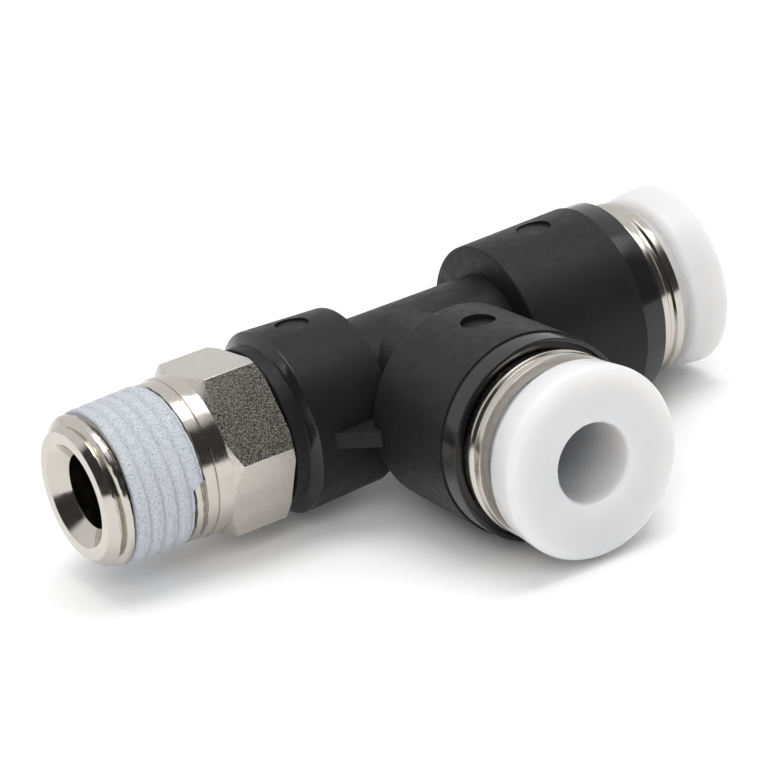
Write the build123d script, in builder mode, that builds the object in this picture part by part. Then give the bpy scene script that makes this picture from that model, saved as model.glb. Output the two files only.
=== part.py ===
from build123d import *

import os

# Push-in tee for small pneumatic tube: a threaded stud that swivels in a resin body, one tube
# port in line with the stud (the run) and one at right angles to it (the branch).
#
# Millimetres.  +X runs from the tip of the thread to the mouth of the run port, the branch port
# looks along -Y and +Z is up.  The origin is the centre of the thread's tip face.
# "Out" is a distance from the centre of the tee along a port's own axis, away from the tee.

# ---------------------------------------------------------------------------------------------
# Driving dimensions

TUBE_RADIUS = 4.76 / 2
HEX_ACROSS_FLATS = 10.0
HEX_TURN = 54.4
THREAD_PITCH = 25.4 / 28
THREAD_RADIUS = 4.75
THREAD_TAPER = 1 / 32
TEE_CENTRE_X = 23.18
FLOW_RADIUS = 2.0
RUNNING_GAP = 0.05
PRESS_GAP = 0.02

# Stations along the stud
HEX_FRONT = 8.05
HEX_REAR = 12.25
NOSE_FRONT = 12.45
STUD_END = 19.0
BORE_FLOOR = 19.2

# Stations out along a port
TUBE_STOP_OUT = 7.4
SLEEVE_OUT = 9.3
CLAW_OUT = 12.0
GUIDE_OUT = 12.3
SHELL_BACK_OUT = 6.63
SHELL_MOUTH_OUT = 15.70
GUIDE_TIP_OUT = 17.5
RING_FACE_OUT = 20.95

# Each plane has its x along the axis of what is turned on it and its y as the radius.
STUD_AXIS = Plane.XY
RUN_AXIS = Plane(origin=(TEE_CENTRE_X, 0, 0), x_dir=(1, 0, 0), z_dir=(0, 0, 1))
BRANCH_AXIS = Plane(origin=(TEE_CENTRE_X, 0, 0), x_dir=(0, -1, 0), z_dir=(0, 0, 1))
PORT_AXES = {"run": RUN_AXIS, "branch": BRANCH_AXIS}


def turned(plane, outline):
    """Solid of revolution about the plane's x axis.

    The outline is a closed row of (place on the axis, radius, corner rounding) points, and the
    rounding may be left out.
    """
    points = [corner[:2] for corner in outline]
    roundings = [corner[2] if len(corner) > 2 else 0 for corner in outline]
    with BuildPart() as blank:
        with BuildSketch(plane):
            with BuildLine():
                FilletPolyline(*points, radius=roundings, close=True)
            make_face()
        revolve(axis=Axis(plane.origin, plane.x_dir))
    return blank.part


def across(plane, place):
    """The plane square to a turning axis at a place along it."""
    return Plane(
        origin=plane.origin + plane.x_dir * place, x_dir=plane.z_dir, z_dir=plane.x_dir
    )


# ---------------------------------------------------------------------------------------------
# Thread: round grooves at the pitch of the taper thread stand in for the helix.

STUD_BORE_RADIUS = 2.36
GROOVE_DEPTH = 0.56
GROOVE_MOUTH = 0.62
GROOVE_FLOOR = 0.08
FIRST_GROOVE_X = 1.62
GROOVE_COUNT = 6
GROOVES = [FIRST_GROOVE_X + THREAD_PITCH * turn for turn in range(GROOVE_COUNT)]


def crest_radius(x):
    """Radius over the crests of the taper thread."""
    return THREAD_RADIUS + THREAD_TAPER * x


def thread_groove(x):
    """Corners of one vee groove centred at x."""
    floor_radius = crest_radius(x) - GROOVE_DEPTH
    return [
        (x - GROOVE_MOUTH / 2, crest_radius(x - GROOVE_MOUTH / 2)),
        (x - GROOVE_FLOOR / 2, floor_radius),
        (x + GROOVE_FLOOR / 2, floor_radius),
        (x + GROOVE_MOUTH / 2, crest_radius(x + GROOVE_MOUTH / 2)),
    ]


thread_corners = [corner for x in GROOVES for corner in thread_groove(x)]

# ---------------------------------------------------------------------------------------------
# Stud: one turned bar with the thread, a shoulder, the hexagon, and a shank that snaps into
# the resin body and turns there.

COUNTERSINK_RADIUS = 3.29
COUNTERSINK_DEPTH = 1.0
TIP_FACE_RADIUS = 4.02
TIP_CHAMFER_X = 0.85
RELIEF_X = 6.95
RELIEF_RADIUS = 4.88
RELIEF_RUNOUT = 0.15
SHOULDER_X = 7.1
SHOULDER_RISE = 0.1
SHOULDER_RADIUS = 5.05
HEX_CORNER_RADIUS = HEX_ACROSS_FLATS / 3**0.5
HEX_FRONT_CORNER_X = 8.59
HEX_REAR_CORNER_X = 11.97
HEX_REAR_RADIUS = 5.29
SHANK_RADIUS = 4.0
SHANK_START = HEX_FRONT + 0.3
SEAL_GROOVE_RADIUS = 3.15
SEAL_GROOVE_START = 15.0
SEAL_GROOVE_END = 16.2
BARB_START = 17.6
BARB_RADIUS = 4.35
BARB_END = 18.6
BARB_END_RADIUS = 3.85

with BuildPart() as thread_stud:
    stud_outline = [
        (COUNTERSINK_DEPTH, STUD_BORE_RADIUS),
        (0, COUNTERSINK_RADIUS, 0.08),
        (0, TIP_FACE_RADIUS, 0.12),
        (TIP_CHAMFER_X, crest_radius(TIP_CHAMFER_X), 0.05),
        *thread_corners,
        (RELIEF_X - RELIEF_RUNOUT, crest_radius(RELIEF_X)),
        (RELIEF_X, RELIEF_RADIUS),
        (SHOULDER_X - SHOULDER_RISE, RELIEF_RADIUS),
        (SHOULDER_X, SHOULDER_RADIUS, 0.05),
        (SHANK_START, SHOULDER_RADIUS),
        (SHANK_START, SHANK_RADIUS),
        (SEAL_GROOVE_START, SHANK_RADIUS, 0.1),
        (SEAL_GROOVE_START, SEAL_GROOVE_RADIUS, 0.1),
        (SEAL_GROOVE_END, SEAL_GROOVE_RADIUS, 0.1),
        (SEAL_GROOVE_END, SHANK_RADIUS, 0.1),
        (BARB_START, SHANK_RADIUS),
        (BARB_START, BARB_RADIUS, 0.08),
        (BARB_END, BARB_END_RADIUS, 0.2),
        (STUD_END, BARB_END_RADIUS, 0.1),
        (STUD_END, STUD_BORE_RADIUS),
    ]
    add(turned(STUD_AXIS, stud_outline))

hex_envelope = turned(
    STUD_AXIS,
    [
        (HEX_FRONT, STUD_BORE_RADIUS),
        (HEX_FRONT, SHOULDER_RADIUS),
        (HEX_FRONT_CORNER_X, HEX_CORNER_RADIUS),
        (HEX_REAR_CORNER_X, HEX_CORNER_RADIUS),
        (HEX_REAR, HEX_REAR_RADIUS),
        (HEX_REAR, STUD_BORE_RADIUS),
    ],
)
with BuildPart() as hexagon:
    with BuildSketch(across(STUD_AXIS, HEX_FRONT)):
        RegularPolygon(HEX_CORNER_RADIUS, 6, rotation=HEX_TURN - 90)
    extrude(amount=HEX_REAR - HEX_FRONT)
    add(hex_envelope, mode=Mode.INTERSECT)

with thread_stud:
    add(hexagon.part)

# ---------------------------------------------------------------------------------------------
# Sealant: a thin coat over the thread that fills its grooves and dips over each of them.

COAT_THICKNESS = 0.09
COAT_DIP = 0.07
COAT_DIP_WIDTH = 0.4
COAT_START = 1.5
COAT_END = 6.35
COAT_RAMP = 0.15
DIP_ROUNDING = 0.1


def coat_dip(x):
    """Corners of the shallow dip in the coat over the groove at x."""
    outside = crest_radius(x) + COAT_THICKNESS
    return [
        (x - COAT_DIP_WIDTH / 2, outside, DIP_ROUNDING),
        (x, outside - COAT_DIP, DIP_ROUNDING),
        (x + COAT_DIP_WIDTH / 2, outside, DIP_ROUNDING),
    ]


# Dips stay clear of the ramps at the two ends of the coat.
first_dip = COAT_START + COAT_RAMP + COAT_DIP_WIDTH
last_dip = COAT_END - COAT_RAMP - COAT_DIP_WIDTH
dipped_grooves = [x for x in GROOVES if first_dip < x < last_dip]
# The blank of the coat starts below every groove floor; the stud is then taken out of it.
coat_inside = crest_radius(0) - GROOVE_DEPTH - 0.1
coat_outline = [
    (COAT_START, coat_inside),
    (COAT_START, crest_radius(COAT_START)),
    (COAT_START + COAT_RAMP, crest_radius(COAT_START) + COAT_THICKNESS),
    *[corner for x in dipped_grooves for corner in coat_dip(x)],
    (COAT_END - COAT_RAMP, crest_radius(COAT_END) + COAT_THICKNESS),
    (COAT_END, crest_radius(COAT_END)),
    (COAT_END, coat_inside),
]
with BuildPart() as thread_sealant:
    add(turned(STUD_AXIS, coat_outline))
    add(thread_stud.part, mode=Mode.SUBTRACT)

# ---------------------------------------------------------------------------------------------
# O-ring in the stud's groove

O_RING_SECTION = 0.43
O_RING_RADIUS = 3.6

with BuildPart() as stud_o_ring:
    with BuildSketch(STUD_AXIS):
        with Locations(((SEAL_GROOVE_START + SEAL_GROOVE_END) / 2, O_RING_RADIUS)):
            Circle(O_RING_SECTION)
    revolve(axis=Axis.X)

# ---------------------------------------------------------------------------------------------
# Resin body: a boss round the stud's shank, two round necks that meet in a mitre, and a
# tapered shell for each port.

NOSE_RADIUS = 5.09
NOSE_END = 13.37
BOSS_FRONT = 13.74
BOSS_FRONT_RADIUS = 5.82
BOSS_REAR = 19.27
BOSS_REAR_RADIUS = 5.58
NECK_RADIUS = 4.35
NECK_OVERLAP = 0.5
SHELL_BACK_RADIUS = 6.15
SHELL_RIM_OUT = 14.22
SHELL_RIM_RADIUS = 6.31
BAND_LINE_DEPTH = 0.14
BAND_LINE_WIDTH = 0.06
BAND_STEP = 0.02
BAND_RADIUS = 6.20
MOUTH_CHAMFER_RADIUS = 5.95
MOUTH_CHAMFER_DEPTH = 0.2
GUIDE_BORE_RADIUS = 5.25
MOUTH_RADIUS = 5.55
MOUTH_OUT = 15.3
SLEEVE_SEAT_RADIUS = 4.0
TUBE_SEAT_RADIUS = TUBE_RADIUS + 0.07
STUD_PASSAGE_RADIUS = 2.3
BARB_GROOVE_RADIUS = 4.5
BARB_GROOVE_START = 17.4
BARB_GROOVE_END = 18.75

boss_outline = [
    (NOSE_FRONT, 0),
    (NOSE_FRONT, NOSE_RADIUS, 0.1),
    (NOSE_END, NOSE_RADIUS, 0.1),
    (BOSS_FRONT, BOSS_FRONT_RADIUS, 0.12),
    (BOSS_REAR, BOSS_REAR_RADIUS, 0.2),
    (BOSS_REAR, 0),
]
shell_outline = [
    (SHELL_BACK_OUT, 0),
    (SHELL_BACK_OUT, SHELL_BACK_RADIUS, 0.2),
    (SHELL_RIM_OUT, SHELL_RIM_RADIUS, 0.05),
    (SHELL_RIM_OUT, SHELL_RIM_RADIUS - BAND_LINE_DEPTH),
    (SHELL_RIM_OUT + BAND_LINE_WIDTH, SHELL_RIM_RADIUS - BAND_LINE_DEPTH),
    (SHELL_RIM_OUT + BAND_LINE_WIDTH + BAND_STEP, BAND_RADIUS),
    (SHELL_MOUTH_OUT, BAND_RADIUS, 0.08),
    (SHELL_MOUTH_OUT, 0),
]
neck_outline = [
    (0, 0),
    (0, NECK_RADIUS),
    (SHELL_BACK_OUT + NECK_OVERLAP, NECK_RADIUS),
    (SHELL_BACK_OUT + NECK_OVERLAP, 0),
]
boss_neck_outline = [
    (BOSS_REAR - NECK_OVERLAP, 0),
    (BOSS_REAR - NECK_OVERLAP, NECK_RADIUS),
    (TEE_CENTRE_X, NECK_RADIUS),
    (TEE_CENTRE_X, 0),
]
port_cavity_outline = [
    (0, 0),
    (0, FLOW_RADIUS),
    (TUBE_STOP_OUT, FLOW_RADIUS),
    (TUBE_STOP_OUT, TUBE_SEAT_RADIUS),
    (SLEEVE_OUT, TUBE_SEAT_RADIUS),
    (SLEEVE_OUT, SLEEVE_SEAT_RADIUS),
    (CLAW_OUT, SLEEVE_SEAT_RADIUS),
    (CLAW_OUT, GUIDE_BORE_RADIUS),
    (MOUTH_OUT, GUIDE_BORE_RADIUS),
    (MOUTH_OUT, MOUTH_RADIUS),
    (SHELL_MOUTH_OUT - MOUTH_CHAMFER_DEPTH, MOUTH_RADIUS),
    (SHELL_MOUTH_OUT, MOUTH_CHAMFER_RADIUS),
    (SHELL_MOUTH_OUT + 1, MOUTH_CHAMFER_RADIUS),
    (SHELL_MOUTH_OUT + 1, 0),
]
shank_cavity_outline = [
    (NOSE_FRONT - 1, 0),
    (NOSE_FRONT - 1, SHANK_RADIUS + RUNNING_GAP),
    (BARB_GROOVE_START, SHANK_RADIUS + RUNNING_GAP),
    (BARB_GROOVE_START, BARB_GROOVE_RADIUS),
    (BARB_GROOVE_END, BARB_GROOVE_RADIUS),
    (BARB_GROOVE_END, SHANK_RADIUS + RUNNING_GAP),
    (BORE_FLOOR, SHANK_RADIUS + RUNNING_GAP),
    (BORE_FLOOR, STUD_PASSAGE_RADIUS),
    (TEE_CENTRE_X + STUD_PASSAGE_RADIUS, STUD_PASSAGE_RADIUS),
    (TEE_CENTRE_X + STUD_PASSAGE_RADIUS, 0),
]

# Web between the boss and the branch shell, drafted both ways from the parting plane
WEB_THICKNESS = 1.0
WEB_DRAFT = 4
WEB_CORNERS = [(14.8, -4.6), (14.8, -5.7), (16.85, -7.75), (19.6, -7.75), (19.6, -4.6)]

# Flat round ejector marks in the top: x, y, radius, height of the floor
EJECTOR_MARKS = [
    (16.2, 0.1, 1.05, 5.5),
    (34.1, 0.0, 1.10, 6.04),
    (TEE_CENTRE_X, -10.14, 1.08, 5.84),
]

with BuildPart() as resin_body:
    add(turned(STUD_AXIS, boss_outline))
    add(turned(STUD_AXIS, boss_neck_outline))
    for axis_plane in PORT_AXES.values():
        add(turned(axis_plane, neck_outline))
        add(turned(axis_plane, shell_outline))
    with BuildSketch(Plane.XY):
        Polygon(*WEB_CORNERS, align=None)
    extrude(amount=WEB_THICKNESS / 2, both=True, taper=WEB_DRAFT)
    add(turned(STUD_AXIS, shank_cavity_outline), mode=Mode.SUBTRACT)
    for axis_plane in PORT_AXES.values():
        add(turned(axis_plane, port_cavity_outline), mode=Mode.SUBTRACT)
    for mark_x, mark_y, mark_radius, mark_floor in EJECTOR_MARKS:
        with BuildSketch(Plane.XY.offset(mark_floor)):
            with Locations((mark_x, mark_y)):
                Circle(mark_radius)
        extrude(amount=1, mode=Mode.SUBTRACT)

# ---------------------------------------------------------------------------------------------
# What sits in each port, from the inside out: elastic sleeve, lock claws, guide ring and
# release ring.

SLEEVE_LENGTH = 1.8
SLEEVE_RADIUS = SLEEVE_SEAT_RADIUS - PRESS_GAP
SLEEVE_LIP_RADIUS = TUBE_RADIUS - 0.06
SLEEVE_LIP_LEAD = 0.35
SLEEVE_LIP_SPACING = 0.45
SLEEVE_HOLLOW_RADIUS = 2.8
SLEEVE_END = SLEEVE_OUT + SLEEVE_LENGTH

sleeve_outline = [
    (SLEEVE_OUT, SLEEVE_HOLLOW_RADIUS),
    (SLEEVE_OUT, SLEEVE_RADIUS, 0.15),
    (SLEEVE_END, SLEEVE_RADIUS, 0.15),
    (SLEEVE_END, SLEEVE_LIP_RADIUS + SLEEVE_LIP_LEAD),
    (SLEEVE_END - SLEEVE_LIP_SPACING, SLEEVE_LIP_RADIUS, 0.15),
    (SLEEVE_END - 2 * SLEEVE_LIP_SPACING, SLEEVE_HOLLOW_RADIUS, 0.1),
]

CLAW_RIM_RADIUS = 5.2
CLAW_HINGE_RADIUS = 3.9
CLAW_TIP_RADIUS = TUBE_RADIUS + 0.02
CLAW_TIP_OUT = 11.3
CLAW_THICKNESS = 0.25
CLAW_COUNT = 8
CLAW_SLOT_WIDTH = 0.4

claw_rim_outline = [
    (CLAW_OUT, CLAW_HINGE_RADIUS),
    (CLAW_OUT, CLAW_RIM_RADIUS),
    (GUIDE_OUT, CLAW_RIM_RADIUS),
    (GUIDE_OUT, CLAW_HINGE_RADIUS),
]
claw_cone_outline = [
    (CLAW_OUT, CLAW_HINGE_RADIUS + 0.05),
    (GUIDE_OUT, CLAW_HINGE_RADIUS + 0.05),
    (CLAW_TIP_OUT + CLAW_THICKNESS, CLAW_TIP_RADIUS),
    (CLAW_TIP_OUT, CLAW_TIP_RADIUS + 0.1),
]

GUIDE_RADIUS = GUIDE_BORE_RADIUS - PRESS_GAP
GUIDE_RELIEF_RADIUS = 4.75
GUIDE_LIP_RADIUS = 4.25
GUIDE_LIP_START = 15.2
GUIDE_LIP_END = 15.9
GUIDE_MOUTH_RADIUS = 5.03
GUIDE_NECK_RADIUS = 5.5
GUIDE_BEAD_RADIUS = 5.68
GUIDE_BEAD_ROUNDING = 0.08
GUIDE_BEAD_START = 16.05
GUIDE_BEAD_END = 16.45
GUIDE_VALLEY_START = 16.6
GUIDE_VALLEY_END = 16.85
GUIDE_TIP_BEAD_START = 17.0

guide_outline = [
    (GUIDE_OUT, GUIDE_RELIEF_RADIUS),
    (GUIDE_OUT, GUIDE_RADIUS, 0.1),
    (MOUTH_OUT, GUIDE_RADIUS),
    (MOUTH_OUT + PRESS_GAP, GUIDE_NECK_RADIUS),
    (GUIDE_BEAD_START - 0.1, GUIDE_NECK_RADIUS),
    (GUIDE_BEAD_START, GUIDE_BEAD_RADIUS, GUIDE_BEAD_ROUNDING),
    (GUIDE_BEAD_END, GUIDE_BEAD_RADIUS, GUIDE_BEAD_ROUNDING),
    (GUIDE_VALLEY_START, GUIDE_NECK_RADIUS),
    (GUIDE_VALLEY_END, GUIDE_NECK_RADIUS),
    (GUIDE_TIP_BEAD_START, GUIDE_BEAD_RADIUS, GUIDE_BEAD_ROUNDING),
    (GUIDE_TIP_OUT, GUIDE_BEAD_RADIUS, 0.04),
    (GUIDE_TIP_OUT, GUIDE_MOUTH_RADIUS),
    (GUIDE_LIP_END, GUIDE_MOUTH_RADIUS),
    (GUIDE_LIP_END, GUIDE_LIP_RADIUS),
    (GUIDE_LIP_START, GUIDE_LIP_RADIUS),
    (GUIDE_LIP_START, GUIDE_RELIEF_RADIUS),
]

RING_BORE_RADIUS = TUBE_SEAT_RADIUS
RING_MOUTH_ROUNDING = 0.3
RING_EDGE_RADIUS = 5.93
RING_EDGE_ROUNDING = 0.5
RING_FLANK_OUT = 18.7
RING_FLANK_RADIUS = 5.74
RING_FLANK_ROUNDING = 0.3
RING_CONE_OUT = 18.35
RING_NECK_RADIUS = 4.95
RING_NECK_OUT = 16.75
RING_STEM_RADIUS = GUIDE_LIP_RADIUS - 0.1
RING_BARB_OUT = 15.1
RING_BARB_END = 14.3
RING_BARB_RADIUS = 4.6
RING_NOSE_OUT = 14.0
RING_TIP_RADIUS = 3.1
RING_TIP_OUT = 12.7

ring_outline = [
    (RING_TIP_OUT, RING_BORE_RADIUS, 0.1),
    (RING_FACE_OUT, RING_BORE_RADIUS, RING_MOUTH_ROUNDING),
    (RING_FACE_OUT, RING_EDGE_RADIUS, RING_EDGE_ROUNDING),
    (RING_FLANK_OUT, RING_FLANK_RADIUS, RING_FLANK_ROUNDING),
    (RING_CONE_OUT, RING_NECK_RADIUS, 0.05),
    (RING_NECK_OUT, RING_NECK_RADIUS),
    (RING_NECK_OUT, RING_STEM_RADIUS),
    (RING_BARB_OUT, RING_STEM_RADIUS),
    (RING_BARB_OUT, RING_BARB_RADIUS, 0.06),
    (RING_BARB_END, RING_BARB_RADIUS, 0.06),
    (RING_NOSE_OUT, RING_STEM_RADIUS),
    (RING_TIP_OUT, RING_TIP_RADIUS, 0.1),
]


def lock_claws(axis_plane):
    """Spring washer whose teeth slant inwards to bite the tube."""
    with BuildPart() as claws:
        add(turned(axis_plane, claw_rim_outline))
        add(turned(axis_plane, claw_cone_outline))
        with BuildSketch(across(axis_plane, CLAW_TIP_OUT - 0.5)):
            slot_length = CLAW_HINGE_RADIUS - CLAW_TIP_RADIUS + 0.2
            with PolarLocations(CLAW_HINGE_RADIUS - slot_length / 2, CLAW_COUNT):
                Rectangle(slot_length, CLAW_SLOT_WIDTH)
        extrude(amount=GUIDE_OUT - CLAW_TIP_OUT + 1, mode=Mode.SUBTRACT)
    return claws.part


# ---------------------------------------------------------------------------------------------
# One file for each piece

pieces = {
    "thread_stud": thread_stud.part,
    "thread_sealant": thread_sealant.part,
    "stud_o_ring": stud_o_ring.part,
    "resin_body": resin_body.part,
}
for port_name, axis_plane in PORT_AXES.items():
    pieces[f"{port_name}_elastic_sleeve"] = turned(axis_plane, sleeve_outline)
    pieces[f"{port_name}_lock_claws"] = lock_claws(axis_plane)
    pieces[f"{port_name}_guide_ring"] = turned(axis_plane, guide_outline)
    pieces[f"{port_name}_release_ring"] = turned(axis_plane, ring_outline)

os.makedirs("parts", exist_ok=True)
for piece_name, piece in pieces.items():
    piece.label = piece_name
    export_step(piece, f"parts/{piece_name}.step")
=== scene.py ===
from math import cos, pi, radians, sin, sqrt

import bmesh
import bpy
import numpy as np
from mathutils import Matrix, Vector


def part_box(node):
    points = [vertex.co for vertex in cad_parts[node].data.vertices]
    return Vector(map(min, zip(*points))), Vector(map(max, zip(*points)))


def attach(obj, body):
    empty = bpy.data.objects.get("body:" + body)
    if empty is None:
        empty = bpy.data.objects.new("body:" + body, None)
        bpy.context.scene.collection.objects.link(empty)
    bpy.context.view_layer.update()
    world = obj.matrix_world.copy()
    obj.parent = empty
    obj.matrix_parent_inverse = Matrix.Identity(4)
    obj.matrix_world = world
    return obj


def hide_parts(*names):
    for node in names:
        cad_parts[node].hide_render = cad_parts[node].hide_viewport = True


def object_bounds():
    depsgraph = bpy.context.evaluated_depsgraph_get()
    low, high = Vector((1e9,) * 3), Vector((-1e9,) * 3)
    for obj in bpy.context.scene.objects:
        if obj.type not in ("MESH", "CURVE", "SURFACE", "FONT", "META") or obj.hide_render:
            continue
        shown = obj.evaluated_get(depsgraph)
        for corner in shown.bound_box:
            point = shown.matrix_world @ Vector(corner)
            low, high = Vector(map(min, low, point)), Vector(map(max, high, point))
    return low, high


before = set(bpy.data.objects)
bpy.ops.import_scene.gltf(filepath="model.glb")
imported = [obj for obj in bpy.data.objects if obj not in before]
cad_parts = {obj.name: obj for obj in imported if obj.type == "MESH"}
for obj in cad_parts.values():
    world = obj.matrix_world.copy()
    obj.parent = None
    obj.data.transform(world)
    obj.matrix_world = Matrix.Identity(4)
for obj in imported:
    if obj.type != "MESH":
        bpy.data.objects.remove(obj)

# Looks for a push-in tee fitting.  The CAD frame is in metres, and lengths named here are in
# millimetres, except those of the floor and the lamps.  +X runs along the stud to the mouth of the run port, the branch looks along -Y.
# "Out" is a distance from the centre of the tee along a port's own axis.

cad_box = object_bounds()
MM = 0.001

# ---------------------------------------------------------------------------------------------
# Stations read from the CAD frame

stud_low, stud_high = (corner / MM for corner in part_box("thread_stud"))
body_low, body_high = (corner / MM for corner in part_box("resin_body"))
run_ring_low, run_ring_high = (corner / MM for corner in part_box("run_release_ring"))
branch_ring_low, branch_ring_high = (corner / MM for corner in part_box("branch_release_ring"))
guide_low, guide_high = (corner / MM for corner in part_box("run_guide_ring"))
coat_low, coat_high = (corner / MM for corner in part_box("thread_sealant"))

TIP_X = stud_low.x
STUD_END = stud_high.x
TEE_X = (branch_ring_low.x + branch_ring_high.x) / 2
NOSE_FRONT = body_low.x
SHELL_MOUTH = body_high.x - TEE_X
SHELL_RADIUS = body_high.z
GUIDE_TIP = guide_high.x - TEE_X
GUIDE_RADIUS = guide_high.z
RING_FACE = run_ring_high.x - TEE_X
RING_TIP = run_ring_low.x - TEE_X
RING_RADIUS = run_ring_high.z
FLOOR_Z = cad_box[0].z

# An axis is its origin and the directions along it, to angle zero and to a quarter turn.
STUD_AXIS = (Vector((0, 0, 0)), Vector((1, 0, 0)), Vector((0, 1, 0)), Vector((0, 0, 1)))
RUN_AXIS = (Vector((TEE_X, 0, 0)), Vector((1, 0, 0)), Vector((0, 1, 0)), Vector((0, 0, 1)))
BRANCH_AXIS = (Vector((TEE_X, 0, 0)), Vector((0, -1, 0)), Vector((1, 0, 0)), Vector((0, 0, 1)))
PORT_AXES = {"run": RUN_AXIS, "branch": BRANCH_AXIS}

EVEN_ANGLES = np.arange(240) * 2 * pi / 240
SMOOTH_ANGLE = radians(32)
SLIVER = 0.00005 * MM


# ---------------------------------------------------------------------------------------------
# Turned meshes


def unit(vectors):
    return vectors / np.linalg.norm(vectors, axis=-1, keepdims=True)


def corner_arc(before, here, after, rounding, steps=5):
    """Rows of the arc that rounds one profile corner, for all angles at once."""
    back = unit(before - here)
    ahead = unit(after - here)
    half = np.arccos(np.clip((back * ahead).sum(-1), -1, 1)) / 2
    centre = here + unit(back + ahead) * (rounding / np.sin(half))[:, None]
    start = here + back * (rounding / np.tan(half))[:, None] - centre
    end = here + ahead * (rounding / np.tan(half))[:, None] - centre
    sweep = pi - 2 * half
    rows = []
    for step in range(steps + 1):
        share = step / steps
        from_start = np.sin((1 - share) * sweep) / np.sin(sweep)
        from_end = np.sin(share * sweep) / np.sin(sweep)
        rows.append(centre + start * from_start[:, None] + end * from_end[:, None])
    return rows


def profile_rows(corners, angles):
    """Rows of (place, radius) at every angle, from a closed row of (place, radius, rounding)."""
    ones = np.ones(len(angles))
    points = [np.stack([corner[0] * ones, corner[1] * ones], axis=-1) for corner in corners]
    rows = []
    for index, corner in enumerate(corners):
        if len(corner) < 3:
            rows.append(points[index])
            continue
        following = points[(index + 1) % len(points)]
        rows += corner_arc(points[index - 1], points[index], following, corner[2])
    return np.array(rows)


def winding(profile):
    """Above zero where a closed profile of (place, radius) points runs anticlockwise."""
    following = np.roll(profile, -1, axis=0)
    return (profile[:, 0] * following[:, 1] - following[:, 0] * profile[:, 1]).sum()


def add_piece(name, mesh, material):
    """Object with smooth shading that keeps its flat faces flat up to their rounded edges."""
    piece = bpy.data.objects.new(name, mesh)
    bpy.context.scene.collection.objects.link(piece)
    mesh.materials.append(material)
    mesh.shade_smooth()
    mesh.set_sharp_from_angle(angle=SMOOTH_ANGLE)
    shading = piece.modifiers.new("flat_faces", "WEIGHTED_NORMAL")
    shading.keep_sharp = True
    return piece


def turned(name, axis, corners, material, angles=EVEN_ANGLES):
    """Closed ring-shaped mesh: a closed profile carried round an axis."""
    rows = profile_rows(corners, angles)
    if winding(rows.mean(axis=1)) < 0:
        rows = rows[::-1]
    row_count, angle_count = rows.shape[:2]
    origin, along, side, up = (np.array(vector) for vector in axis)
    outward = np.cos(angles)[:, None] * side + np.sin(angles)[:, None] * up
    places = origin + rows[..., :1] * along + rows[..., 1:] * outward
    numbers = np.arange(row_count * angle_count).reshape(row_count, angle_count)
    next_row = np.roll(numbers, -1, axis=0)
    next_angle = np.roll(numbers, -1, axis=1)
    opposite = np.roll(next_row, -1, axis=1)
    faces = np.stack([numbers, next_row, opposite, next_angle], axis=-1).reshape(-1, 4)
    mesh = bpy.data.meshes.new(name)
    mesh.from_pydata((places.reshape(-1, 3) * MM).tolist(), [], faces.tolist())
    return add_piece(name, mesh, material)


def without_slivers(mesh):
    """Takes away the faces without area that a boolean leaves behind."""
    edit = bmesh.new()
    edit.from_mesh(mesh)
    bmesh.ops.remove_doubles(edit, verts=edit.verts, dist=SLIVER)
    bmesh.ops.triangulate(edit, faces=edit.faces)
    bmesh.ops.dissolve_degenerate(edit, edges=edit.edges, dist=SLIVER)
    edit.to_mesh(mesh)
    edit.free()


def carved(name, solid, cutters, operation, material):
    """A new piece: the solid with the cutters taken away from it or added to it."""
    solid.modifiers.clear()
    for cutter in cutters:
        modifier = solid.modifiers.new("carve", "BOOLEAN")
        modifier.solver = "EXACT"
        modifier.operation = operation
        modifier.object = cutter
    graph = bpy.context.evaluated_depsgraph_get()
    mesh = bpy.data.meshes.new_from_object(solid.evaluated_get(graph))
    mesh.materials.clear()
    mesh.name = name
    without_slivers(mesh)
    for used in (solid, *cutters):
        bpy.data.objects.remove(used)
    return add_piece(name, mesh, material)


def rod(name, axis, start, end, radius, sides=240):
    """Plain closed cylinder, used only to cut or join other meshes."""
    origin, along, side, up = axis
    angles = np.arange(sides) * 2 * pi / sides
    points = []
    for place in (start, end):
        for angle in angles:
            outward = side * cos(angle) + up * sin(angle)
            points.append((origin + along * place + outward * radius) * MM)
    faces = [list(range(sides))[::-1], list(range(sides, 2 * sides))]
    for index in range(sides):
        following = (index + 1) % sides
        faces.append([index, following, sides + following, sides + index])
    mesh = bpy.data.meshes.new(name)
    mesh.from_pydata(points, [], faces)
    mesh.validate()
    piece = bpy.data.objects.new(name, mesh)
    bpy.context.scene.collection.objects.link(piece)
    return piece


# ---------------------------------------------------------------------------------------------
# Materials


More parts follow.
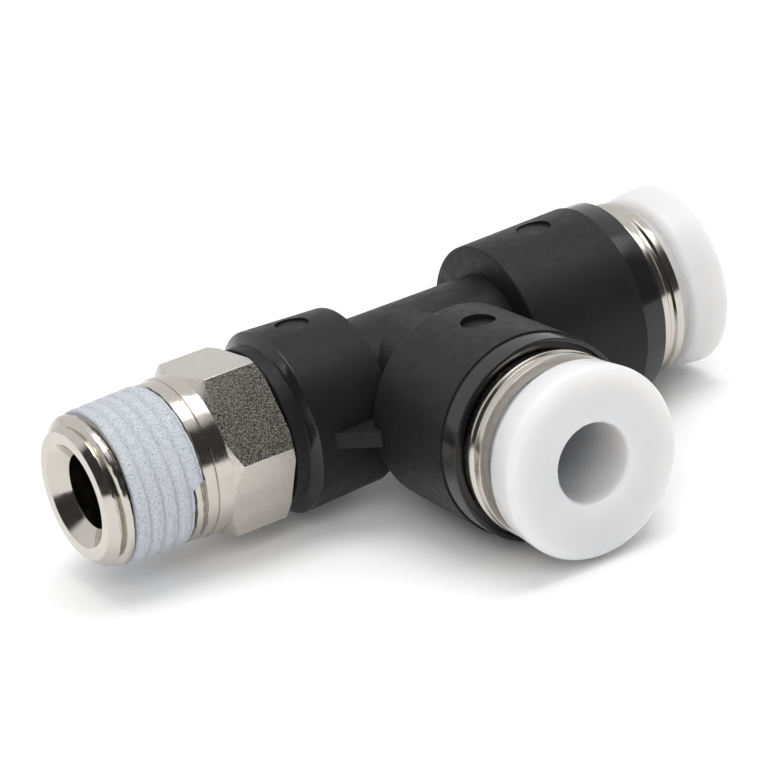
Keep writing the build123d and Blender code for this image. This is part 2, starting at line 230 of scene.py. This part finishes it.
class Shade:
    """A material's node tree, with short calls for the nodes that this file uses."""

    def __init__(self, name, **sockets):
        self.material = bpy.data.materials.new(name)
        self.material.use_nodes = True
        self.tree = self.material.node_tree
        self.surface = self.tree.nodes["Principled BSDF"]
        self.position = self.node("ShaderNodeTexCoord").outputs["Object"]
        for socket, value in sockets.items():
            self.surface.inputs[socket.replace("_", " ")].default_value = value

    def node(self, kind, **settings):
        node = self.tree.nodes.new(kind)
        for name, value in settings.items():
            setattr(node, name, value)
        return node

    def link(self, output, socket):
        self.tree.links.new(output, socket)

    def noise(self, size, detail=2.0, roughness=0.5, stretch=(1, 1, 1)):
        """Noise between about 0.3 and 0.7 whose grains are about the size, in millimetres."""
        mapping = self.node("ShaderNodeMapping")
        self.link(self.position, mapping.inputs["Vector"])
        mapping.inputs["Scale"].default_value = stretch
        noise = self.node("ShaderNodeTexNoise")
        self.link(mapping.outputs["Vector"], noise.inputs["Vector"])
        noise.inputs["Scale"].default_value = 1 / (size * MM)
        noise.inputs["Detail"].default_value = detail
        noise.inputs["Roughness"].default_value = roughness
        return noise.outputs["Fac"]

    def spread(self, value, low, high, to_low, to_high):
        """The value's stretch from low to high carried to another one, and held outside it."""
        node = self.node("ShaderNodeMapRange")
        self.link(value, node.inputs["Value"])
        node.inputs["From Min"].default_value = low
        node.inputs["From Max"].default_value = high
        node.inputs["To Min"].default_value = to_low
        node.inputs["To Max"].default_value = to_high
        return node.outputs["Result"]

    def blend(self, share, first, second):
        """Colour between two colours."""
        node = self.node("ShaderNodeMix", data_type="RGBA")
        self.link(share, node.inputs["Factor"])
        for socket, colour in ((node.inputs["A"], first), (node.inputs["B"], second)):
            if isinstance(colour, tuple):
                socket.default_value = (*colour, 1)
            else:
                self.link(colour, socket)
        return node.outputs["Result"]

    def bump(self, height, depth):
        """Bump whose height of one stands for the depth, in millimetres."""
        node = self.node("ShaderNodeBump")
        node.inputs["Strength"].default_value = 1.0
        node.inputs["Distance"].default_value = depth * MM
        self.link(height, node.inputs["Height"])
        last = self.surface.inputs["Normal"]
        if last.is_linked:
            self.link(last.links[0].from_socket, node.inputs["Normal"])
        self.link(node.outputs["Normal"], last)

    def colour(self, output):
        self.link(output, self.surface.inputs["Base Color"])

    def roughness(self, output):
        self.link(output, self.surface.inputs["Roughness"])


def turned_nickel():
    """Bright nickel plate over fine tool marks that run round the X axis."""
    shade = Shade("turned_nickel", Metallic=1.0)
    shade.colour(shade.blend(shade.noise(1.5), (0.55, 0.52, 0.472), (0.60, 0.567, 0.515)))
    shade.roughness(shade.spread(shade.noise(0.5), 0.3, 0.7, 0.10, 0.2))
    shade.bump(shade.noise(0.05, stretch=(1, 0.02, 0.02)), 0.0012)
    return shade.material


def drawn_nickel():
    """Nickel plate over the grainy drawn faces of the hexagon."""
    shade = Shade("drawn_nickel", Metallic=1.0)
    shade.colour(shade.blend(shade.noise(0.4), (0.55, 0.52, 0.472), (0.62, 0.588, 0.538)))
    shade.roughness(shade.spread(shade.noise(0.06), 0.5, 0.62, 0.16, 0.5))
    shade.bump(shade.noise(0.09, detail=2.0, roughness=0.5), 0.008)
    return shade.material


def sealant_coat():
    """Dried thread sealant: pale, matt, granular, with dark specks."""
    shade = Shade("sealant_coat", Metallic=0.0)
    specks = shade.spread(shade.noise(0.07, detail=2.0, roughness=0.6), 0.55, 0.62, 0, 0.8)
    pale = shade.blend(shade.noise(0.12, detail=3.0), (0.42, 0.44, 0.475), (0.63, 0.65, 0.695))
    shade.colour(shade.blend(specks, pale, (0.13, 0.14, 0.17)))
    shade.roughness(shade.spread(shade.noise(0.3), 0.3, 0.7, 0.5, 0.75))
    shade.bump(shade.noise(0.09, detail=3.0, roughness=0.7), 0.04)
    return shade.material


def matt_resin():
    """Black moulded resin with a fine spark-eroded grain."""
    shade = Shade("matt_resin", Specular_IOR_Level=0.24)
    shade.colour(shade.blend(shade.noise(2.5), (0.008, 0.008, 0.0085), (0.012, 0.012, 0.0132)))
    shade.roughness(shade.spread(shade.noise(0.6), 0.3, 0.7, 0.42, 0.55))
    shade.bump(shade.noise(0.12, detail=3.0, roughness=0.65), 0.012)
    return shade.material


def gloss_resin():
    """The same resin where the mould was polished."""
    shade = Shade("gloss_resin", Specular_IOR_Level=0.5)
    shade.colour(shade.blend(shade.noise(2.0), (0.009, 0.009, 0.0095), (0.013, 0.013, 0.014)))
    shade.roughness(shade.spread(shade.noise(0.8), 0.3, 0.7, 0.12, 0.2))
    shade.bump(shade.noise(0.5), 0.002)
    return shade.material


def white_acetal():
    """White moulded acetal: smooth, slightly translucent."""
    shade = Shade("white_acetal", Subsurface_Weight=1.0, Subsurface_Scale=0.004)
    shade.colour(shade.blend(shade.noise(3.0), (0.61, 0.613, 0.62), (0.64, 0.643, 0.65)))
    shade.surface.inputs["Subsurface Radius"].default_value = (1.0, 0.9, 0.8)
    shade.roughness(shade.spread(shade.noise(0.8), 0.3, 0.7, 0.28, 0.42))
    shade.bump(shade.noise(0.9, detail=1.0), 0.006)
    return shade.material


def nitrile():
    shade = Shade("nitrile")
    shade.colour(shade.blend(shade.noise(0.8), (0.012, 0.012, 0.013), (0.02, 0.02, 0.02)))
    shade.roughness(shade.spread(shade.noise(0.4), 0.3, 0.7, 0.4, 0.6))
    shade.bump(shade.noise(0.15), 0.004)
    return shade.material


def spring_steel():
    shade = Shade("spring_steel", Metallic=1.0)
    shade.colour(shade.blend(shade.noise(0.5), (0.50, 0.49, 0.47), (0.60, 0.59, 0.57)))
    shade.roughness(shade.spread(shade.noise(0.3), 0.3, 0.7, 0.22, 0.38))
    shade.bump(shade.noise(0.1), 0.003)
    return shade.material


TURNED_NICKEL = turned_nickel()
DRAWN_NICKEL = drawn_nickel()
SEALANT_COAT = sealant_coat()
MATT_RESIN = matt_resin()
GLOSS_RESIN = gloss_resin()
WHITE_ACETAL = white_acetal()
NITRILE = nitrile()
SPRING_STEEL = spring_steel()


def paint(piece, axis, material, chosen):
    """Gives a second material to the faces that the test picks by place and radius."""
    origin, along = axis[0], axis[1]
    piece.data.materials.append(material)
    slot = len(piece.data.materials) - 1
    for face in piece.data.polygons:
        arm = face.center / MM - origin
        place = arm.dot(along)
        if chosen(place, (arm - along * place).length):
            face.material_index = slot


# ---------------------------------------------------------------------------------------------
# Stud: countersunk tip, taper thread, shoulder, hexagon and shank

THREAD_PITCH = 25.4 / 28
THREAD_RADIUS = 4.75
THREAD_TAPER = 1 / 32
GROOVE_DEPTH = 0.56
GROOVE_MOUTH = 0.62
GROOVE_FLOOR = 0.08
FIRST_GROOVE_X = 1.163
THREAD_END = 6.75
WASHOUT = 1.0
THREAD_STEP = 0.03

STUD_BORE_RADIUS = 2.36
COUNTERSINK_RADIUS = 3.29
COUNTERSINK_DEPTH = 1.0
TIP_FACE_RADIUS = 4.02
TIP_CHAMFER_X = 0.85
RELIEF_RADIUS = 4.88
SHOULDER_X = 7.08
SHOULDER_RADIUS = 5.05
HEX_FRONT = 8.05
HEX_REAR = 12.25
HEX_ACROSS_FLATS = 10.0
HEX_TURN = radians(54.4)
HEX_EDGE_ROUNDING = 0.06
HEX_CHAMFER_SLOPE = 1.35
HEX_REAR_SLOPE = 1.73
HEX_REAR_CHAMFER = 0.28
HEX_EDGE_SPREAD = radians(0.6)
TOOL_ROUNDING = 0.03
SHANK_RADIUS = 4.0
SEAL_GROOVE_RADIUS = 3.15
SEAL_GROOVE_START = 15.0
SEAL_GROOVE_END = 16.2
BARB_X = 17.6
BARB_RADIUS = 4.35
BARB_END = 18.6
SHANK_TIP_RADIUS = 3.85


def crest_radius(x):
    return THREAD_RADIUS + THREAD_TAPER * x


def groove_distance(x, angles):
    """Distance along the axis from the nearest turn of the thread's groove."""
    turns = (x - FIRST_GROOVE_X) / THREAD_PITCH - angles / (2 * pi)
    return np.abs((turns + 0.5) % 1 - 0.5) * THREAD_PITCH


def thread_radius(x, angles):
    """Radius of the thread, held under the tip's chamfer and fading out at the far end."""
    wall = (GROOVE_MOUTH - GROOVE_FLOOR) / 2
    fade = np.clip((THREAD_END - x) / WASHOUT, 0, 1)
    share = np.clip((GROOVE_MOUTH / 2 * fade - groove_distance(x, angles)) / wall, 0, 1)
    chamfer = TIP_FACE_RADIUS + (crest_radius(TIP_CHAMFER_X) - TIP_FACE_RADIUS) * x / TIP_CHAMFER_X
    return np.minimum(chamfer, crest_radius(x) - GROOVE_DEPTH * share)


def hexagon_radius(angles):
    """Radius of the hexagon, its six edges slightly rounded."""
    turn = (angles - HEX_TURN) % (pi / 3) - pi / 6
    flat = HEX_ACROSS_FLATS / 2 / np.cos(turn)
    edge = HEX_ACROSS_FLATS / sqrt(3)
    rounding_centre = edge - HEX_EDGE_ROUNDING / cos(pi / 6)
    off_edge = pi / 6 - np.abs(turn)
    inside = np.clip(HEX_EDGE_ROUNDING**2 - (rounding_centre * np.sin(off_edge)) ** 2, 0, None)
    rounded_edge = rounding_centre * np.cos(off_edge) + np.sqrt(inside)
    reach = rounding_centre * np.sin(off_edge) < HEX_EDGE_ROUNDING / 2
    return np.where(reach, np.minimum(flat, rounded_edge), flat)


def stud_angles():
    """Even angles with extra ones close to the hexagon's six edges."""
    spread = HEX_EDGE_SPREAD * np.linspace(-1, 1, 9)
    edges = HEX_TURN + np.arange(6)[:, None] * pi / 3 + spread
    even = HEX_TURN + np.arange(288) * 2 * pi / 288
    return np.unique(np.round(np.concatenate([edges.ravel(), even]) % (2 * pi), 6))


def make_stud():
    angles = stud_angles()
    thread_places = np.arange(0.06, THREAD_END, THREAD_STEP)
    thread_corners = [(x, thread_radius(x, angles)) for x in thread_places]
    hex_side = hexagon_radius(angles)
    front_chamfer = (hex_side - SHOULDER_RADIUS) / HEX_CHAMFER_SLOPE
    front_edge = HEX_FRONT + np.maximum(front_chamfer, 0.01)
    hex_corner_radius = HEX_ACROSS_FLATS / sqrt(3)
    rear_chamfer = HEX_REAR_CHAMFER - (hex_corner_radius - hex_side) / HEX_REAR_SLOPE
    rear_edge = HEX_REAR - np.maximum(rear_chamfer, 0.02)
    rear_face_radius = hex_corner_radius - HEX_REAR_CHAMFER * HEX_REAR_SLOPE
    rear_radius = np.minimum(hex_side - 0.02, rear_face_radius)
    corners = [
        (TIP_X + COUNTERSINK_DEPTH, STUD_BORE_RADIUS, TOOL_ROUNDING),
        (TIP_X, COUNTERSINK_RADIUS, 0.12),
        (TIP_X, TIP_FACE_RADIUS, 0.05),
        *thread_corners,
        (SHOULDER_X - 0.1, crest_radius(SHOULDER_X), 0.02),
        (SHOULDER_X - 0.05, RELIEF_RADIUS, 0.02),
        (SHOULDER_X, SHOULDER_RADIUS, TOOL_ROUNDING),
        (HEX_FRONT, SHOULDER_RADIUS),
        (front_edge, hex_side, TOOL_ROUNDING),
        (rear_edge, hex_side, TOOL_ROUNDING),
        (HEX_REAR, rear_radius, TOOL_ROUNDING),
        (HEX_REAR, SHANK_RADIUS, 0.05),
        (SEAL_GROOVE_START, SHANK_RADIUS, 0.1),
        (SEAL_GROOVE_START, SEAL_GROOVE_RADIUS, 0.1),
        (SEAL_GROOVE_END, SEAL_GROOVE_RADIUS, 0.1),
        (SEAL_GROOVE_END, SHANK_RADIUS, 0.1),
        (BARB_X, SHANK_RADIUS, 0.05),
        (BARB_X, BARB_RADIUS, 0.05),
        (BARB_END, SHANK_TIP_RADIUS, 0.2),
        (STUD_END, SHANK_TIP_RADIUS, 0.1),
        (STUD_END, STUD_BORE_RADIUS, 0.05),
    ]
    stud = turned("stud", STUD_AXIS, corners, TURNED_NICKEL, angles)

    def on_a_flat(place, radius):
        between_faces = HEX_FRONT + 0.02 < place < HEX_REAR - 0.02
        return between_faces and radius > HEX_ACROSS_FLATS / 2 - 0.02

    paint(stud, STUD_AXIS, DRAWN_NICKEL, on_a_flat)
    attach(stud, "stud")
    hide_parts("thread_stud")


COAT_THICKNESS = 0.09
COAT_DIP = 0.17
COAT_DIP_HALF_WIDTH = 0.28
COAT_DIP_SHARPNESS = 1.6
COAT_OVERLAP = 0.02
COAT_DEPTH = 0.3
COAT_RAMP = 0.12
COAT_STEP_ANGLE = radians(177)
COAT_STEP = 0.7


def coat_end(angles):
    """Far edge of the coat: it steps back by most of a turn at one angle."""
    past = (angles - COAT_STEP_ANGLE) / (2 * pi) % 1
    step = np.clip(past / 0.012, 0, 1) * np.clip((0.85 - past) / 0.3, 0, 1)
    ragged = 0.03 * np.sin(5 * angles)
    ragged = ragged + 0.02 * np.sin(17 * angles + 1)
    ragged = ragged + 0.012 * np.sin(41 * angles)
    return coat_high.x - 0.22 - COAT_STEP * step + ragged


def make_sealant():
    """Coat whose outside follows the thread's turns, with uneven ends."""
    angles = np.arange(480) * 2 * pi / 480
    start = coat_low.x + 0.06 + 0.03 * np.sin(3 * angles + 1) + 0.015 * np.sin(11 * angles)
    end = coat_end(angles)
    rows = 200
    corners = [(start, crest_radius(start) - COAT_DEPTH)]
    for row in range(rows + 1):
        x = start + (end - start) * row / rows
        ramp = np.sqrt(np.clip(np.minimum(x - start, end - x) / COAT_RAMP, 0, 1))
        nearness = np.clip(1 - groove_distance(x, angles) / COAT_DIP_HALF_WIDTH, 0, 1)
        rise = COAT_OVERLAP + COAT_THICKNESS - COAT_DIP * nearness**COAT_DIP_SHARPNESS
        corners.append((x, crest_radius(x) - COAT_OVERLAP + rise * ramp))
    corners.append((end, crest_radius(end) - COAT_DEPTH))
    coat = turned("sealant", STUD_AXIS, corners, SEALANT_COAT, angles)
    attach(coat, "stud")
    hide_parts("thread_sealant")


make_stud()
make_sealant()

# ---------------------------------------------------------------------------------------------
# Resin body: boss, necks, shells and web

NECK_RADIUS = 4.35
NECK_OVERLAP = 0.3
FLOW_RADIUS = 2.0
PASSAGE_REACH = 9
# Crossing rods differ by this much in radius, so that no faces coincide.
APART = 0.01
BOSS_REAR = 19.27
SHELL_BACK = 6.63
SHELL_RIM = 14.22
BAND_RADIUS = 6.20
MOUTH_RADIUS = 5.55
MOUTH_CHAMFER_RADIUS = 5.95
MOUTH_CHAMFER_DEPTH = 0.2
SHANK_HOLE_RADIUS = 4.05
NOSE_RADIUS = 5.09
NOSE_REAR = 13.37
BOSS_FRONT = 13.74
BOSS_FRONT_RADIUS = 5.82
BOSS_REAR_RADIUS = 5.58
SHELL_BACK_RADIUS = 6.15
SHELL_CORE_RADIUS = 4.2
SHELL_CORE = SHELL_BACK + 0.1
RIM_LINE_RADIUS = SHELL_RADIUS - 0.1
RIM_LINE_END = SHELL_RIM + 0.03
GUIDE_SEAT = 15.3
GUIDE_SEAT_RADIUS = 5.25
SLEEVE_SEAT_END = 12.0
SLEEVE_SEAT_RADIUS = 4.0
SLEEVE_SEAT = 9.3
TUBE_SEAT_RADIUS = 2.45
TUBE_STOP = 7.4

BOSS_CORNERS = [
    (NOSE_FRONT, SHANK_HOLE_RADIUS, 0.05),
    (NOSE_FRONT, NOSE_RADIUS, 0.08),
    (NOSE_REAR, NOSE_RADIUS, 0.08),
    (BOSS_FRONT, BOSS_FRONT_RADIUS, 0.1),
    (BOSS_REAR, BOSS_REAR_RADIUS, 0.15),
    (BOSS_REAR, SHANK_HOLE_RADIUS),
]
SHELL_CORNERS = [
    (SHELL_BACK, SHELL_CORE_RADIUS),
    (SHELL_BACK, SHELL_BACK_RADIUS, 0.15),
    (SHELL_RIM, SHELL_RADIUS, 0.04),
    (SHELL_RIM, RIM_LINE_RADIUS),
    (RIM_LINE_END, RIM_LINE_RADIUS),
    (RIM_LINE_END + 0.02, BAND_RADIUS, 0.02),
    (SHELL_MOUTH, BAND_RADIUS, 0.06),
    (SHELL_MOUTH, MOUTH_CHAMFER_RADIUS, 0.03),
    (SHELL_MOUTH - MOUTH_CHAMFER_DEPTH, MOUTH_RADIUS),
    (GUIDE_SEAT, MOUTH_RADIUS),
    (GUIDE_SEAT, GUIDE_SEAT_RADIUS),
    (SLEEVE_SEAT_END, GUIDE_SEAT_RADIUS),
    (SLEEVE_SEAT_END, SLEEVE_SEAT_RADIUS),
    (SLEEVE_SEAT, SLEEVE_SEAT_RADIUS),
    (SLEEVE_SEAT, TUBE_SEAT_RADIUS),
    (TUBE_STOP, TUBE_SEAT_RADIUS),
    (TUBE_STOP, FLOW_RADIUS),
    (SHELL_CORE, FLOW_RADIUS),
    (SHELL_CORE, SHELL_CORE_RADIUS),
]
# Ejector marks: axis, place along it, radius, height of the flat floor
MARKS = {
    "boss": (16.2, 1.05, 5.50),
    "run": (10.9, 1.10, 6.04),
    "branch": (10.14, 1.08, 5.84),
}


def mark_cutter(axis, place, radius, floor):
    origin, along, side, up = axis
    centre = origin + along * place
    return rod("mark", (centre, up, along, side), floor, floor + 1, radius, sides=96)


def make_shell(part, axis, corners):
    place, radius, floor = MARKS[part]
    plain = turned(part + "_plain", axis, corners, MATT_RESIN)
    mark = mark_cutter(axis, place, radius, floor)
    shell = carved(f"body_{part}", plain, [mark], "DIFFERENCE", MATT_RESIN)
    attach(shell, "housing")
    return shell


def on_boss_chamfer(place, radius):
    return NOSE_REAR < place < BOSS_FRONT + 0.06 and radius > NOSE_RADIUS + 0.01


def on_shell_band(place, radius):
    return place > SHELL_RIM + 0.01 and radius > GUIDE_SEAT_RADIUS - 0.05


boss = make_shell("boss", STUD_AXIS, BOSS_CORNERS)
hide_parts("resin_body")
paint(boss, STUD_AXIS, GLOSS_RESIN, on_boss_chamfer)
for part, axis in PORT_AXES.items():
    shell = make_shell(part, axis, SHELL_CORNERS)
    paint(shell, axis, GLOSS_RESIN, on_shell_band)


def make_necks():
    """The two necks meet in a mitre, with the flow passages cut through them."""
    start = BOSS_REAR - NECK_OVERLAP - TEE_X
    end = SHELL_BACK + NECK_OVERLAP
    run_neck = rod("run_neck", RUN_AXIS, start, end, NECK_RADIUS)
    branch_neck = rod("branch_neck", BRANCH_AXIS, 0, end, NECK_RADIUS - APART)
    joined = carved("necks_joined", run_neck, [branch_neck], "UNION", MATT_RESIN)
    passages = [
        rod("run_passage", RUN_AXIS, -PASSAGE_REACH, PASSAGE_REACH, FLOW_RADIUS),
        rod("branch_passage", BRANCH_AXIS, 0, PASSAGE_REACH, FLOW_RADIUS - APART),
    ]
    necks = carved("body_necks", joined, passages, "DIFFERENCE", MATT_RESIN)
    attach(necks, "housing")


# Corners (x, y) of the web at the parting plane, and how its sides draw in above and below
WEB_OUTLINE = [(15.2, -5.3), (14.8, -5.7), (16.85, -7.75), (17.3, -7.75), (19.6, -5.3)]
WEB_HALF = 0.5
WEB_DRAFT = 0.04


def make_web():
    """Web between the boss and the branch shell, with a ridge at the parting plane."""
    centre = np.mean(WEB_OUTLINE, axis=0)
    points = []
    for height, shrink in ((-WEB_HALF, WEB_DRAFT), (0, 0), (WEB_HALF, WEB_DRAFT)):
        for corner in np.array(WEB_OUTLINE):
            pull = unit(centre - corner) * shrink
            points.append(((corner + pull)[0] * MM, (corner + pull)[1] * MM, height * MM))
    count = len(WEB_OUTLINE)
    faces = [list(range(count))[::-1], list(range(2 * count, 3 * count))]
    for level in (0, count):
        for index in range(count):
            following = (index + 1) % count
            lower = (level + index, level + following)
            upper = (level + count + following, level + count + index)
            faces.append([*lower, *upper])
    mesh = bpy.data.meshes.new("body_web")
    mesh.from_pydata(points, [], faces)
    web = add_piece("body_web", mesh, MATT_RESIN)
    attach(web, "housing")


make_necks()
make_web()

# ---------------------------------------------------------------------------------------------
# Guide rings and release rings

GUIDE_START = guide_low.x - TEE_X
GUIDE_PRESS_RADIUS = 5.23
GUIDE_RELIEF_RADIUS = 4.75
GUIDE_NECK_RADIUS = 5.5
GUIDE_MOUTH_RADIUS = 5.03
GUIDE_LIP_RADIUS = 4.25
GUIDE_LIP_START = 15.2
GUIDE_LIP_END = 15.9
BEAD_ROUNDING = 0.07
FIRST_BEAD = 16.05
FIRST_BEAD_END = 16.45
TIP_BEAD = 17.0
BEAD_SLOPE = 0.15

RING_BORE_RADIUS = 2.45
RING_FLARE = 0.04
RING_FLANK = 18.5
RING_FLANK_RADIUS = 5.7
RING_NECK_FRONT = 18.35
RING_NECK_BACK = 16.75
RING_NECK_RADIUS = 4.95
RING_STEM_RADIUS = 4.15
RING_BARB = 15.1
RING_BARB_END = 14.3
RING_BARB_RADIUS = 4.6
RING_NOSE = 14.0
RING_TIP_RADIUS = 3.1

GUIDE_CORNERS = [
    (GUIDE_START, GUIDE_RELIEF_RADIUS),
    (GUIDE_START, GUIDE_PRESS_RADIUS, 0.08),
    (GUIDE_SEAT + 0.02, GUIDE_PRESS_RADIUS),
    (GUIDE_SEAT + 0.04, GUIDE_NECK_RADIUS),
    (FIRST_BEAD - 0.1, GUIDE_NECK_RADIUS, 0.03),
    (FIRST_BEAD, GUIDE_RADIUS, BEAD_ROUNDING),
    (FIRST_BEAD_END, GUIDE_RADIUS, BEAD_ROUNDING),
    (FIRST_BEAD_END + BEAD_SLOPE, GUIDE_NECK_RADIUS, 0.05),
    (TIP_BEAD - BEAD_SLOPE, GUIDE_NECK_RADIUS, 0.05),
    (TIP_BEAD, GUIDE_RADIUS, BEAD_ROUNDING),
    (GUIDE_TIP, GUIDE_RADIUS, 0.04),
    (GUIDE_TIP, GUIDE_MOUTH_RADIUS, 0.04),
    (GUIDE_LIP_END, GUIDE_MOUTH_RADIUS),
    (GUIDE_LIP_END, GUIDE_LIP_RADIUS),
    (GUIDE_LIP_START, GUIDE_LIP_RADIUS),
    (GUIDE_LIP_START, GUIDE_RELIEF_RADIUS),
]
RING_CORNERS = [
    (RING_TIP, RING_BORE_RADIUS, 0.1),
    (RING_FACE, RING_BORE_RADIUS, 0.3),
    (RING_FACE, RING_RADIUS + RING_FLARE, 0.5),
    (RING_FLANK, RING_FLANK_RADIUS, 0.45),
    (RING_NECK_FRONT, RING_NECK_RADIUS, 0.05),
    (RING_NECK_BACK, RING_NECK_RADIUS),
    (RING_NECK_BACK, RING_STEM_RADIUS),
    (RING_BARB, RING_STEM_RADIUS),
    (RING_BARB, RING_BARB_RADIUS, 0.06),
    (RING_BARB_END, RING_BARB_RADIUS, 0.06),
    (RING_NOSE, RING_STEM_RADIUS),
    (RING_TIP, RING_TIP_RADIUS, 0.1),
]

for port, axis in PORT_AXES.items():
    guide = turned(f"{port}_guide", axis, GUIDE_CORNERS, TURNED_NICKEL)
    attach(guide, "housing")
    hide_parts(f"{port}_guide_ring")
    ring = turned(f"{port}_ring", axis, RING_CORNERS, WHITE_ACETAL)
    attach(ring, f"{port}_release")
    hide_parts(f"{port}_release_ring")

# ---------------------------------------------------------------------------------------------
# Inner pieces kept from the CAD

KEPT_NODES = {
    "stud_o_ring": NITRILE,
    "run_elastic_sleeve": NITRILE,
    "branch_elastic_sleeve": NITRILE,
    "run_lock_claws": SPRING_STEEL,
    "branch_lock_claws": SPRING_STEEL,
}
for node, material in KEPT_NODES.items():
    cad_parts[node].data.materials.clear()
    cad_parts[node].data.materials.append(material)

# ---------------------------------------------------------------------------------------------
# Floor, light and camera


# The lengths of this section are in metres

FLOOR_HALF = 3.0
FLOOR_GAP = 0.00002
STUDIO_BRIGHTNESS = 0.88
ROOM_BRIGHTNESS = 0.05
ROOM_AZIMUTH = radians(205)
LAMP_DISTANCE = 0.5


def make_floor():
    mesh = bpy.data.meshes.new("floor")
    height = FLOOR_Z - FLOOR_GAP
    corners = [(-1, -1), (1, -1), (1, 1), (-1, 1)]
    points = [(x * FLOOR_HALF, y * FLOOR_HALF, height) for x, y in corners]
    mesh.from_pydata(points, [], [(0, 1, 2, 3)])
    floor = bpy.data.objects.new("floor", mesh)
    bpy.context.scene.collection.objects.link(floor)
    shade = Shade("floor_paper", Roughness=0.6, Specular_IOR_Level=0.2)
    shade.colour(shade.blend(shade.noise(40), (0.90, 0.90, 0.90), (0.92, 0.92, 0.92)))
    shade.bump(shade.noise(0.6), 0.01)
    mesh.materials.append(shade.material)


def make_world():
    """White studio, with the dark room behind the photographer up to the lamp's height."""
    world = bpy.data.worlds.new("studio")
    world.use_nodes = True
    bpy.context.scene.world = world
    nodes, links = world.node_tree.nodes, world.node_tree.links
    direction = nodes.new("ShaderNodeTexCoord").outputs["Generated"]
    to_room = (sin(ROOM_AZIMUTH), cos(ROOM_AZIMUTH), 0)
    # A direction, and how far along it the room is still dark and the studio fully bright
    room_edges = (
        (to_room, 0.16, -0.02),
        ((0, 0, 1), sin(radians(46)), sin(radians(57))),
    )
    brighter = nodes.new("ShaderNodeMath")
    brighter.operation = "MAXIMUM"
    for facing_socket, (facing, dark, light) in zip(brighter.inputs, room_edges):
        toward = nodes.new("ShaderNodeVectorMath")
        toward.operation = "DOT_PRODUCT"
        links.new(direction, toward.inputs[0])
        toward.inputs[1].default_value = facing
        ramp = nodes.new("ShaderNodeMapRange")
        links.new(toward.outputs["Value"], ramp.inputs["Value"])
        ramp.inputs["From Min"].default_value = dark
        ramp.inputs["From Max"].default_value = light
        ramp.inputs["To Min"].default_value = ROOM_BRIGHTNESS
        ramp.inputs["To Max"].default_value = STUDIO_BRIGHTNESS
        links.new(ramp.outputs["Result"], facing_socket)
    background = nodes["Background"]
    links.new(brighter.outputs["Value"], background.inputs["Strength"])
    background.inputs["Color"].default_value = (1, 1, 1, 1)


def softbox(name, azimuth, elevation, size, power):
    """Square soft light that looks at the object. Azimuth 0 is +Y and 90 is +X."""
    light = bpy.data.lights.new(name, "AREA")
    light.size = size
    light.energy = power
    lamp = bpy.data.objects.new(name, light)
    bpy.context.scene.collection.objects.link(lamp)
    turn, rise = radians(azimuth), radians(elevation)
    away = Vector((sin(turn) * cos(rise), cos(turn) * cos(rise), sin(rise)))
    target = (cad_box[0] + cad_box[1]) / 2
    lamp.location = target + away * LAMP_DISTANCE
    lamp.rotation_mode = "QUATERNION"
    lamp.rotation_quaternion = away.to_track_quat("Z", "Y")
    return lamp


def make_camera():
    """Camera at the photograph's viewing angle, a little rolled."""
    azimuth, elevation, roll = radians(-28.95), radians(22.09), radians(-8.84)
    back = Vector((sin(azimuth) * cos(elevation), -cos(azimuth) * cos(elevation), sin(elevation)))
    level_right = Vector((cos(azimuth), sin(azimuth), 0))
    level_up = back.cross(level_right)
    right = level_right * cos(roll) + level_up * sin(roll)
    up = level_up * cos(roll) - level_right * sin(roll)
    data = bpy.data.cameras.new("camera")
    data.sensor_width = 36
    data.lens = 193.04
    data.clip_start = 0.01
    camera = bpy.data.objects.new("camera", data)
    bpy.context.scene.collection.objects.link(camera)
    place = Vector((-91.793, -205.471, 95.067)) * MM
    camera.matrix_world = Matrix(
        [(right[i], up[i], back[i], place[i]) for i in range(3)] + [(0, 0, 0, 1)]
    )
    bpy.context.scene.camera = camera


make_floor()
make_world()
softbox("overhead", azimuth=108, elevation=86, size=0.29, power=0.95)
softbox("edge", azimuth=108, elevation=62, size=0.2, power=0.16)
front_fill = softbox("front_fill", azimuth=212, elevation=35, size=0.4, power=1.7)
front_fill.visible_glossy = False
make_camera()
bpy.context.scene.view_settings.view_transform = "Standard"
